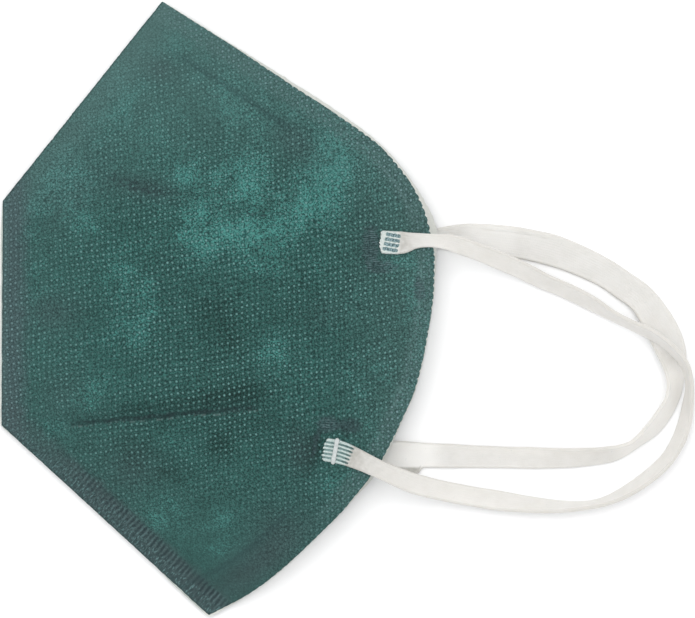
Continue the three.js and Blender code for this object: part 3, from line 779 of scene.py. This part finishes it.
loop_near, near_line = strap("ear_loop_near_strap", NEAR_LOOP, False, on_near_cover)
loop_far, far_line = strap("ear_loop_far_strap", FAR_LOOP, True, under_far_cover, FAR_FOLDS, FAR_BULGES,
                           FAR_PAINTED_LIGHT)
bar_near = crossbar("crossbar_near", near_line, 1)
bar_far = crossbar("crossbar_far", far_line, -1)


# ---------------------------------------------------------------- materials

class Shader:
    """Builds a material's nodes. Inputs are sockets of other nodes or plain numbers."""

    def __init__(self, name, roughness, specular, sheen):
        self.material = bpy.data.materials.new(name)
        self.material.use_nodes = True
        self.tree = self.material.node_tree
        self.surface = self.tree.nodes["Principled BSDF"]
        self.set({"Roughness": roughness, "Specular IOR Level": specular, "Sheen Weight": sheen,
                  "Sheen Roughness": 0.5})

    def set(self, values):
        for name, value in values.items():
            self.surface.inputs[name].default_value = value

    def put(self, value, socket):
        if isinstance(value, bpy.types.NodeSocket):
            self.tree.links.new(value, socket)
        else:
            socket.default_value = value

    def node(self, kind, values=(), **settings):
        made = self.tree.nodes.new(kind)
        for key, value in settings.items():
            setattr(made, key, value)
        for value, socket in zip(values, made.inputs):
            if value is not None:
                self.put(value, socket)
        return made

    def math(self, operation, *values):
        return self.node("ShaderNodeMath", values, operation=operation).outputs[0]

    def chain(self, operation, first, *others):
        for other in others:
            first = self.math(operation, first, other)
        return first

    def add(self, *values):
        return self.chain("ADD", *values)

    def times(self, *values):
        return self.chain("MULTIPLY", *values)

    def either(self, *values):
        return self.chain("MAXIMUM", *values)

    def step(self, value, low, high):
        """0 up to low, 1 from high on, and smooth between; low may be the higher one."""
        ends = (0, 1) if low < high else (1, 0)
        ranges = (value, min(low, high), max(low, high), *ends)
        return self.node("ShaderNodeMapRange", ranges, interpolation_type="SMOOTHSTEP").outputs[0]

    def spread(self, value, low, high):
        """0 to 1 becomes low to high."""
        return self.node("ShaderNodeMapRange", (value, 0, 1, low, high)).outputs[0]

    def beside(self, value, middle, far, near):
        """1 within the near distance of a middle value, and 0 from the far one on."""
        shifted = self.add(value, -middle) if middle else value
        return self.step(self.math("ABSOLUTE", shifted), far, near)

    def swing(self, noise, size):
        """A noise from 0 to 1 as a shift either way, over this size in all."""
        return self.times(self.add(noise, -0.5), size)

    def vector(self, operation, *values):
        return self.node("ShaderNodeVectorMath", values, operation=operation).outputs[0]

    def measure(self, operation, *values):
        return self.node("ShaderNodeVectorMath", values, operation=operation).outputs["Value"]

    def dot(self, vector, way):
        return self.measure("DOT_PRODUCT", vector, way)

    def scaled(self, vector, size):
        made = self.node("ShaderNodeVectorMath", (vector,), operation="SCALE")
        made.inputs["Scale"].default_value = size
        return made.outputs[0]

    def join(self, x, y, z):
        return self.node("ShaderNodeCombineXYZ", (x, y, z)).outputs[0]

    def split(self, vector):
        return self.node("ShaderNodeSeparateXYZ", (vector,)).outputs

    def turned(self, place, degrees, long, wide):
        """The place along and across a direction, in lengths and widths of a fibre."""
        turn = math.radians(degrees)
        c, s = math.cos(turn), math.sin(turn)
        ways = ((c / long, s / long, 0), (-s / wide, c / wide, 0), (0, 0, 1.5))
        return self.join(*(self.dot(place, way) for way in ways))

    def mix(self, share, a, b):
        """Two colours mixed, each a socket, an albedo, or three numbers from 0 to 255."""
        made = self.node("ShaderNodeMix", data_type="RGBA")
        for value, number in ((share, 0), (a, 6), (b, 7)):
            shown = isinstance(value, tuple) and len(value) == 3
            self.put(linear(*value) if shown else value, made.inputs[number])
        return made.outputs[2]

    def lay(self, colour, *layers):
        """Lays colours over a colour, each with its share and the most of it that shows."""
        for share, most, over in layers:
            colour = self.mix(self.times(share, most), colour, over)
        return colour

    def texture(self, kind, place, **inputs):
        made = self.tree.nodes.new(kind)
        self.put(place, made.inputs["Vector"])
        for name, value in inputs.items():
            made.inputs[name].default_value = value
        return made

    def noise(self, place, scale, detail=2, roughness=0.5):
        made = self.texture("ShaderNodeTexNoise", place, Scale=scale, Detail=detail, Roughness=roughness)
        return made.outputs[0]

    def attribute(self, name):
        return self.node("ShaderNodeAttribute", attribute_name=name).outputs["Fac"]

    def place(self):
        """The point in millimetres, in the object's own space."""
        return self.scaled(self.tree.nodes.new("ShaderNodeTexCoord").outputs["Object"], 1 / MM)

    def finish(self, colour, height, depth):
        """Sets the colour, and a relief whose height is 0 to 1 over a depth in millimetres."""
        self.put(colour, self.surface.inputs["Base Color"])
        bump = self.tree.nodes.new("ShaderNodeBump")
        bump.inputs["Distance"].default_value = depth * MM
        self.put(height, bump.inputs["Height"])
        self.put(bump.outputs[0], self.surface.inputs["Normal"])
        return self.material


LIGHT = 1.385  # how much light falls on a flat surface


def linear(red, green, blue, light=LIGHT):
    """A colour given in 0 to 255, as the albedo that shows so under this much light."""
    parts = [c / 255 for c in (red, green, blue)]
    parts = [c / 12.92 if c <= 0.04045 else ((c + 0.055) / 1.055) ** 2.4 for c in parts]
    return (*(c / light for c in parts), 1)


# The cover's colours: between the fibres, and on them.
GREEN = ((27, 61, 58), (56, 104, 98))
LIGHT_GREEN = ((40, 92, 88), (83, 153, 145))
DARK_GREEN = ((13, 41, 37), (36, 73, 68))
NOSE_GREY = ((55, 82, 80), (96, 130, 127))
FACE_GREY = ((72, 86, 86), (114, 128, 126))
PATCH_GREY = ((49, 61, 65), (82, 95, 99))
SLATE = ((56, 71, 74), (87, 106, 110))
PALE_SLATE = ((67, 95, 93), (105, 136, 134))
DARK_SLATE = ((50, 63, 65), (81, 97, 99))
PRESSED_AND_SHADE_SLATE = ((36, 52, 56), (60, 78, 82))

BOND_A = (1.323, 0.2545)  # one bond dot to the next, along a row and across the rows
BOND_B = (0.051, -1.425)
BOND_STRAY = 0.12
PRESS_PITCH = 0.55  # from one fine line to the next in a pressed patch


def bond_lattice(s, at):
    """How much a point is in a bond dot and in the ring round it, and each dot's own strength."""
    det = BOND_A[0] * BOND_B[1] - BOND_A[1] * BOND_B[0]
    u = s.dot(at.warped, (BOND_B[1] / det, -BOND_B[0] / det, 0))
    v = s.dot(at.warped, (-BOND_A[1] / det, BOND_A[0] / det, 0))
    du, dv = (s.add(s.math("FRACT", each), -0.5) for each in (u, v))
    cell = s.join(s.math("FLOOR", u), s.math("FLOOR", v), 0)
    chances = s.split(s.texture("ShaderNodeTexWhiteNoise", cell).outputs["Color"])
    off_x, off_y = (s.add(s.times(du, a), s.times(dv, b), s.spread(chance, -BOND_STRAY, BOND_STRAY))
                    for a, b, chance in zip(BOND_A, BOND_B, chances))
    away = s.math("SQRT", s.add(s.times(off_x, off_x), s.times(off_y, off_y)))
    away = s.add(away, s.swing(at.fine, 0.35))
    return s.step(away, 0.4, 0.12), s.step(away, 0.75, 0.4), s.spread(chances[2], 0.35, 1)


def cover_places(s):
    """What the cover's parts go by: distances from its edges and corners, its fibres and its bands."""
    at = SimpleNamespace(place=s.place())
    wobble = s.texture("ShaderNodeTexNoise", at.place, Scale=0.045, Detail=2).outputs["Color"]
    shifted = s.vector("SUBTRACT", wobble, (0.5, 0.5, 0.5))
    at.warped = s.vector("ADD", at.place, s.scaled(shifted, 2.6))
    at.fine = s.noise(at.place, 2.6, 3, 0.6)
    at.patchy = s.noise(at.place, 0.22, 4, 0.65)

    def from_corner(number, way):
        return s.dot(s.vector("SUBTRACT", at.place, (*CORNERS[number].tolist(), 0)), (*way.tolist(), 0))

    nose_in, at.front_in, at.chin_in = (from_corner(number, EDGE_INWARD[number]) for number in range(3))
    at.chin_along = from_corner(2, EDGE_ALONG[2])
    at.to_chin = s.measure("DISTANCE", at.place, (*CORNERS[3].tolist(), 2))
    at.to_nose = s.measure("DISTANCE", at.place, (*CORNERS[0].tolist(), 2))
    at.from_middle = s.measure("DISTANCE", at.place, (10, 0, 6))
    at.x = s.dot(at.place, (1, 0, 0))
    at.y = s.dot(at.place, (0, 1, 0))
    at.rim = s.attribute("rim")

    # Fibres that lie three ways, clearest in the middle
    strands = s.either(*(s.noise(s.turned(at.place, degrees, 0.9, 0.22), 1) for degrees in (14, 74, 133)))
    fibres = s.step(s.add(s.times(strands, 0.6), s.times(at.fine, 0.4)), 0.455, 0.62)
    clear = s.times(s.spread(s.step(at.to_chin, 8, 34), 0.4, 1.1),
                    s.spread(s.step(at.to_nose, 4, 56), 0.56, 1),
                    s.spread(s.step(at.from_middle, 56, 18), 0.84, 1.32))
    at.fibres = s.add(s.swing(fibres, clear), 0.5)

    # Bands beside the edges
    loose = s.swing(s.noise(at.place, 0.4, 3), 3.2)
    at.nose_band = s.step(s.add(nose_in, loose), 11, 1)
    at.front_band = s.step(s.add(at.front_in, loose), 8.4, 2.8)
    at.chin_band = s.times(s.step(s.add(at.chin_in, loose), 7.8, 4.2),
                           s.spread(s.step(at.chin_along, 2, 30), 0.5, 1))
    at.rim_band = s.times(s.step(s.add(at.rim, s.times(loose, 0.5)), 5.8, 3.2),
                          s.spread(s.step(at.y, -58, -44), 0.15, 1))
    at.weld_line = s.times(s.beside(at.rim, 3.4, 0.42, 0.12), s.step(at.patchy, 0.42, 0.6),
                           s.step(at.y, -42, -20), s.step(at.y, 46, 28))
    return at


def cloth_colour(s, at, pair):
    return s.mix(at.fibres, *pair)


def cover_patches(s, at):
    """The green, lighter and darker in patches, and greyer beside the edges and in the grey patches."""
    tone = s.attribute("tone")
    light = s.add(s.times(tone, s.spread(at.patchy, 0.1, 1.9)), s.swing(at.patchy, 1.05),
                  s.swing(s.noise(at.place, 0.06, 3, 0.55), 0.5))
    # The last term is painted light: the cloth lighter towards +y, the side the light comes from.
    light = s.add(light, s.swing(at.fine, s.spread(s.step(light, -0.2, 0.6), 1, 2.1)), s.times(at.y, 0.0028))
    darker, lighter = s.step(light, 0, -0.9), s.step(light, 0, 0.95)
    low, high = (s.mix(darker, s.mix(lighter, plain, pale), dark)
                 for plain, pale, dark in zip(GREEN, LIGHT_GREEN, DARK_GREEN))
    slate, pale_slate, dark_slate = (cloth_colour(s, at, pair) for pair in (SLATE, PALE_SLATE, DARK_SLATE))
    return s.lay(
        s.mix(at.fibres, low, high),
        (s.step(at.y, 14, 72), 0.42, cloth_colour(s, at, NOSE_GREY)),
        (s.step(at.from_middle, 34, 62), 0.1, pale_slate),
        (s.step(at.x, 24, 52), 0.2, cloth_colour(s, at, FACE_GREY)),
        (s.attribute("grey"), 0.55, cloth_colour(s, at, PATCH_GREY)),
        (at.nose_band, 0.4, pale_slate),
        (at.front_band, 0.7, slate),
        (s.step(at.front_in, 2.2, 0.4), 0.35, pale_slate),
        (at.chin_band, 0.76, dark_slate),
        (s.step(at.chin_in, 3.6, 0.8), 0.3, slate),
        (at.rim_band, 0.3, pale_slate),
        (at.weld_line, 0.3, (118, 150, 149)))


def cover_dots(s, at, colour):
    """The bond dots over the colour, and how much each point is in one."""
    dot, halo, chance = bond_lattice(s, at)
    strength = s.times(chance, s.spread(s.step(s.noise(at.place, 0.11), 0.3, 0.6), 0.4, 1),
                       s.spread(s.step(at.to_chin, 16, 46), 0.1, 1),
                       s.spread(s.step(at.from_middle, 58, 22), 0.84, 1.2),
                       s.spread(s.step(at.to_nose, 4, 22), 0.4, 1),
                       s.spread(at.chin_band, 1, 0.55), s.spread(at.nose_band, 1, 0.6))
    strength = s.add(strength, s.times(s.either(at.rim_band, at.front_band), 0.3))
    dot_colour = s.mix(s.either(at.front_band, at.rim_band), (122, 171, 167), (128, 162, 164))
    dots = s.times(dot, strength)
    return s.lay(colour, (s.times(halo, strength), 0.3, (30, 56, 57)), (dots, 0.72, dot_colour)), dots


def chin_dashes(s, at, colour):
    """Dashes across the chin seam, with painted shade between and highlights on them, and painted glints and
    shade along it.
    """
    bent = s.add(at.chin_along, s.swing(s.noise(at.place, 0.35), 1.1))
    wave = s.math("COSINE", s.times(bent, 2 * math.pi / CHIN_DASH))
    rows = s.either(*(
        s.times(s.step(at.chin_in, begin - 0.3, begin + 0.3), s.step(at.chin_in, end + 0.4, end - 0.4), share)
        for begin, end, share in DASH_ROWS))
    uneven = s.spread(s.step(s.noise(at.place, 0.45, 3), 0.3, 0.65), 0.45, 1)
    rows = s.times(rows, s.step(at.chin_along, 8, 32), uneven)
    bright = s.times(s.step(wave, 0.2, 1), s.step(s.noise(at.place, 0.16), 0.3, 0.72))
    sparkle = s.times(s.step(s.noise(s.turned(at.place, 49, 1, 0.35), 1), 0.53, 0.66),
                      s.step(at.chin_in, 4.4, 2.2))
    shadow = s.times(s.step(s.noise(s.turned(at.place, 45, 1.6, 0.5), 1), 0.5, 0.4),
                     s.step(at.chin_in, 3.6, 2))
    return s.lay(
        colour,
        (s.times(rows, s.step(wave, 0.45, -0.8)), 0.72, (36, 52, 57)),
        (s.times(rows, bright), 0.4, (108, 136, 140)),
        (s.times(sparkle, at.chin_band), 0.6, (114, 152, 152)),
        (s.times(shadow, at.chin_band), 0.5, (40, 62, 62)))


def pressed_and_shaded_patches(s, at, colour):
    """Patches pressed by the strap welder, in fine lines, and painted shade beside the lower weld's end."""
    press_and_shade = s.step(s.add(s.attribute("press_and_shade"), s.swing(s.noise(at.place, 0.8, 3), 1.2)), 0.1, 0.9)
    across = s.add(s.dot(at.warped, (0, 1, 0)), s.swing(s.noise(at.place, 0.6), 0.7))
    broken = s.noise(s.vector("MULTIPLY", at.place, (0.6, 2.5, 1)), 1.2)
    lines = s.times(s.step(s.math("COSINE", s.times(across, 2 * math.pi / PRESS_PITCH)), 0, 0.9),
                    s.step(broken, 0.4, 0.62), s.step(s.attribute("lined"), 0.05, 0.75))
    return s.lay(colour, (press_and_shade, 0.6, cloth_colour(s, at, PRESSED_AND_SHADE_SLATE)),
                 (s.times(press_and_shade, lines), 0.62, (118, 144, 148)))


def fold_shades(s, at, colour):
    """The folds in painted shade, darkest in their middle, with more painted shade and a painted glint beside
    the lower one.
    """
    upper = s.math("ABSOLUTE", s.attribute("upper_fold"))
    specks = s.step(s.noise(at.place, 0.9, 3), 0.42, 0.6)
    lower = s.add(s.attribute("lower_fold"), s.swing(s.noise(at.place, 0.35, 3), 1.3))
    lower_dark = s.attribute("lower_dark")
    line = s.times(s.beside(lower, 0, 0.95, 0.15),
                   s.spread(s.step(s.noise(at.place, 0.4, 3), 0.3, 0.6), 0.5, 1), lower_dark)
    glint = s.times(s.beside(lower, -0.8, 0.42, 0.1), s.step(s.noise(at.place, 0.8, 3), 0.46, 0.6),
                    lower_dark)
    shade = s.times(s.step(lower, 4.5, 0.4), s.step(lower, -0.3, 0.3), lower_dark)
    return s.lay(
        colour,
        (s.times(s.step(upper, 2.2, 0.3), s.attribute("upper_dark"), specks), 0.62, (38, 52, 57)),
        (s.times(s.step(upper, 0.55, 0.12), s.attribute("upper_thin"), specks), 1, (34, 52, 55)),
        (line, 0.72, (30, 44, 47)),
        (glint, 0.4, (106, 124, 123)),
        (shade, 0.16, (26, 46, 48)))


def cover_material():
    s = Shader("cover_cloth", roughness=0.85, specular=0.16, sheen=0.08)
    at = cover_places(s)
    colour, dots = cover_dots(s, at, cover_patches(s, at))
    colour = fold_shades(s, at, pressed_and_shaded_patches(s, at, chin_dashes(s, at, colour)))
    # Painted shade along the inner side of the nose strip's ridge.
    nose_ridge_shade = s.times(s.beside(at.rim, 9.4, 1.3, 0.2), s.step(at.x, -14, -8), s.step(at.x, 22, 15),
                          s.spread(at.patchy, 0.3, 1))
    colour = s.lay(colour, (nose_ridge_shade, 0.5, (42, 66, 68)),
                   (s.step(s.attribute("inside"), 0.55, 0.1), 0.45, (40, 62, 62)))
    height = s.add(s.times(at.fibres, 0.45), s.times(dots, -0.45), s.times(at.weld_line, -0.8))
    return s.finish(colour, height, 0.1)


def lining_material():
    s = Shader("lining_cloth", roughness=0.95, specular=0.15, sheen=0.2)
    place = s.place()
    fibres = s.noise(place, 1.9, 5, 0.7)
    wide = s.noise(place, 0.2, 3, 0.55)
    colour = s.mix(s.step(s.add(s.times(fibres, 0.7), s.times(wide, 0.3)), 0.3, 0.7),
                   (228, 228, 221), (246, 245, 240))
    colour = s.mix(s.step(s.attribute("inside"), 2.2, 0.6), colour, (224, 231, 225))
    # Painted light: the lining paler along the face edge, where the near half shades it.
    colour = s.mix(s.beside(s.attribute("rim"), 0, 2.4, 1), colour, (249, 251, 245))
    return s.finish(colour, s.add(fibres, s.times(wide, 0.5)), 0.14)


WALE = 0.62  # width of one column of the strap's knit
COURSE = 0.55  # length of one of its loops


def strap_film(s, place, groove, shade):
    """The cloth's green through the film between a weld's ribs, and the dashes in its open grooves."""
    speckle = s.step(s.noise(place, 1.3, 3), 0.35, 0.65)
    film = s.lay(s.mix(speckle, (122, 154, 152), (164, 192, 189)),
                 (shade, 0.85, s.mix(speckle, (70, 100, 98), (120, 148, 145))))
    through = s.step(groove, 0.75, 0.98)
    film = s.mix(through, film, (172, 197, 203))
    dashes = s.step(s.noise(s.turned(place, 68, 1.3, 0.24), 1, 3), 0.45, 0.56)
    return s.lay(film, (s.times(through, dashes), 0.85, (58, 88, 92)))


def elastic_material():
    s = Shader("elastic", roughness=0.9, specular=0.15, sheen=0.15)
    s.set({"Subsurface Weight": 0.6, "Subsurface Scale": 0.0018, "Subsurface Radius": (1, 0.95, 0.9)})
    place = s.scaled(s.node("ShaderNodeUVMap", uv_map="UVMap").outputs[0], 1 / MM)
    along, across, _ = s.split(place)
    wales = s.math("COSINE", s.times(across, 2 * math.pi / WALE))
    stagger = s.times(s.math("FLOOR", s.times(across, 1 / WALE)), 0.5)
    loops = s.math("COSINE", s.times(s.add(s.times(along, 1 / COURSE), stagger), 2 * math.pi))
    yarn = s.noise(s.vector("MULTIPLY", place, (0.35, 2.2, 1)), 1.4, 3, 0.6)
    fuzz = s.noise(place, 3, 3, 0.7)
    mottle = s.add(s.times(yarn, 0.35), s.times(s.noise(place, 0.22), 0.4), s.times(fuzz, 0.25))
    tab, groove, shade = (s.attribute(name) for name in ("tab", "groove", "shade"))
    patchy = s.spread(s.step(s.noise(place, 0.55, 3), 0.3, 0.65), 0.55, 1)

    colour = s.mix(s.step(mottle, 0.35, 0.65), (238, 236, 231), (246, 244, 240))
    # Painted light: the far strap paler where it lies in shade.
    colour = s.mix(s.attribute("pale"), colour, linear(255, 253, 249, light=1.25))
    # Painted shade along the strap's edges, and painted shade beside the welds and on the bulge.
    colour = s.lay(colour, (s.attribute("side"), 0.5, (206, 203, 196)),
                   (s.times(shade, patchy), 0.9, (186, 184, 177)))
    colour = s.mix(tab, colour, s.mix(s.step(fuzz, 0.35, 0.65), (184, 204, 200), (216, 228, 224)))
    broken = s.add(groove, s.swing(s.noise(s.turned(place, 68, 1.1, 0.4), 1, 3), 1.1))
    colour = s.mix(s.step(broken, 0.15, 0.55), colour, strap_film(s, place, groove, shade))
    knit = s.times(s.add(s.times(wales, 0.06), s.times(loops, 0.05)), s.spread(tab, 1, 0))
    return s.finish(colour, s.add(knit, s.add(s.times(yarn, 0.3), s.times(fuzz, 0.25))), 0.08)


def bar_material():
    s = Shader("crossbar_elastic", roughness=0.6, specular=0.3, sheen=0.1)
    grain = s.noise(s.place(), 1.6, 3, 0.6)
    colour = s.mix(s.step(grain, 0.3, 0.7), (196, 203, 202), (218, 223, 222))
    return s.finish(colour, grain, 0.06)


def floor_material():
    s = Shader("floor", roughness=0.9, specular=0.1, sheen=0)
    s.put(s.mix(s.noise(s.place(), 0.02), (0.885, 0.885, 0.885, 1), (0.9, 0.9, 0.9, 1)),
          s.surface.inputs["Base Color"])
    return s.material


COVER, LINING, ELASTIC, BAR = cover_material(), lining_material(), elastic_material(), bar_material()
PIECES = [  # piece, its node in the CAD, its slot in the record, its material
    (cover_near, "cover_near", "cover_cloth", COVER), (cover_far, "cover_far", "cover_cloth", COVER),
    (lining_near, "lining_near", "lining_cloth", LINING), (lining_far, "lining_far", "lining_cloth", LINING),
    (loop_near, "ear_loop_near", "elastic", ELASTIC), (loop_far, "ear_loop_far", "elastic", ELASTIC),
    (bar_near, None, "elastic", BAR), (bar_far, None, "elastic", BAR),
]
for piece, node, slot, material in PIECES:
    piece.data.materials.append(material)
    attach(piece, "root")
    if node:
        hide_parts(node)

# ---------------------------------------------------------------- floor and light

FLOOR_SIZE_M = 40
bpy.ops.mesh.primitive_plane_add(size=FLOOR_SIZE_M)
floor = bpy.context.object
floor.name = "floor"
floor.data.materials.append(floor_material())

world = bpy.data.worlds.new("world")
world.use_nodes = True
sky = world.node_tree.nodes["Background"]
sky.inputs["Color"].default_value = (0.985, 0.99, 1, 1)
sky.inputs["Strength"].default_value = 1
bpy.context.scene.world = world
bpy.context.scene.view_settings.view_transform = "Standard"

sun = bpy.data.lights.new("key", "SUN")
sun.angle = math.radians(50)
sun.energy = 1.35
lamp = bpy.data.objects.new("key", sun)
lamp.rotation_euler = (math.radians(-16), math.radians(-8), 0)
lamp.location = (0, 0, 1)
bpy.context.scene.collection.objects.link(lamp)
